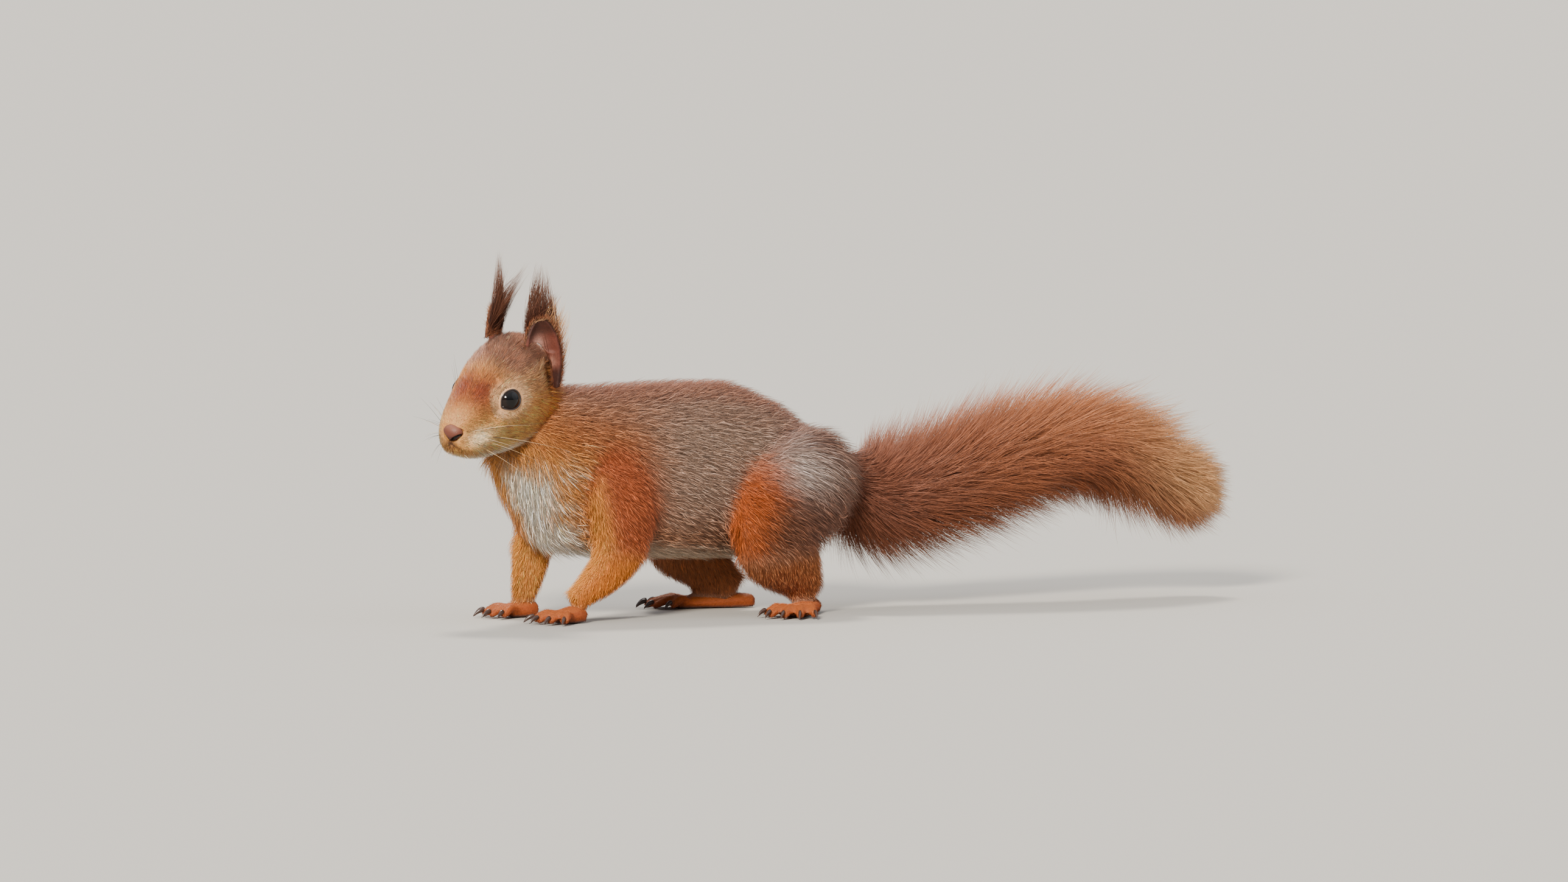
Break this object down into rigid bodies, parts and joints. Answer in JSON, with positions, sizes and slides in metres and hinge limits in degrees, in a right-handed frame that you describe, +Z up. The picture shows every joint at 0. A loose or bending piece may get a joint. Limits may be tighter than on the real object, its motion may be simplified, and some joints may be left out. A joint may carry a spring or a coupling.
{
  "type": "red squirrel figure",
  "caption": "Life-size red squirrel standing on all fours, head turned to its left, tufted ears up and bushy tail held out behind.",
  "frame": {"origin": "on the floor, under the middle of the whole animal's box", "axes": "+Z up; the nose points towards -X and the tail towards +X; the animal's left side faces -Y"},
  "size_m": [0.3768, 0.1014, 0.1539],
  "materials": {
    "back_coat": "soft matt fur over flesh, grey-brown on the back, white below",
    "orange_coat": "short glossy orange-brown fur over flesh",
    "tail_coat": "long loose hair, dark brown at the root of the tail and sandy at its end",
    "tuft_hair": "long upright dark brown hair",
    "ear_skin": "thin pink-brown skin with fine short hair",
    "nose_skin": "bare, slightly moist brown skin",
    "eye": "wet gloss, near black",
    "claw": "smooth dark horn"
  },
  "bodies": {
    "root": {"chest": "back_coat", "ear_left": "ear_skin", "ear_right": "ear_skin", "ear_tuft_left": "tuft_hair", "ear_tuft_right": "tuft_hair", "eye_left": "eye", "eye_right": "eye", "forearm_left": "orange_coat", "forearm_right": "orange_coat", "foreclaw_left_1": "claw", "foreclaw_left_2": "claw", "foreclaw_left_3": "claw", "foreclaw_left_4": "claw", "foreclaw_right_1": "claw", "foreclaw_right_2": "claw", "foreclaw_right_3": "claw", "foreclaw_right_4": "claw", "forepaw_left": "orange_coat", "forepaw_right": "orange_coat", "head": "orange_coat", "hindclaw_left_1": "claw", "hindclaw_left_2": "claw", "hindclaw_left_3": "claw", "hindclaw_left_4": "claw", "hindclaw_left_5": "claw", "hindclaw_right_1": "claw", "hindclaw_right_2": "claw", "hindclaw_right_3": "claw", "hindclaw_right_4": "claw", "hindclaw_right_5": "claw", "hindfoot_left": "orange_coat", "hindfoot_right": "orange_coat", "loin": "back_coat", "neck": "back_coat", "nose": "nose_skin", "rump": "back_coat", "shank_left": "orange_coat", "shank_right": "orange_coat", "tail_1": "tail_coat", "tail_2": "tail_coat", "tail_3": "tail_coat", "tail_4": "tail_coat", "tail_5": "tail_coat", "thigh_left": "back_coat", "thigh_right": "back_coat", "upper_arm_left": "orange_coat", "upper_arm_right": "orange_coat"}
  },
  "joints": []
}
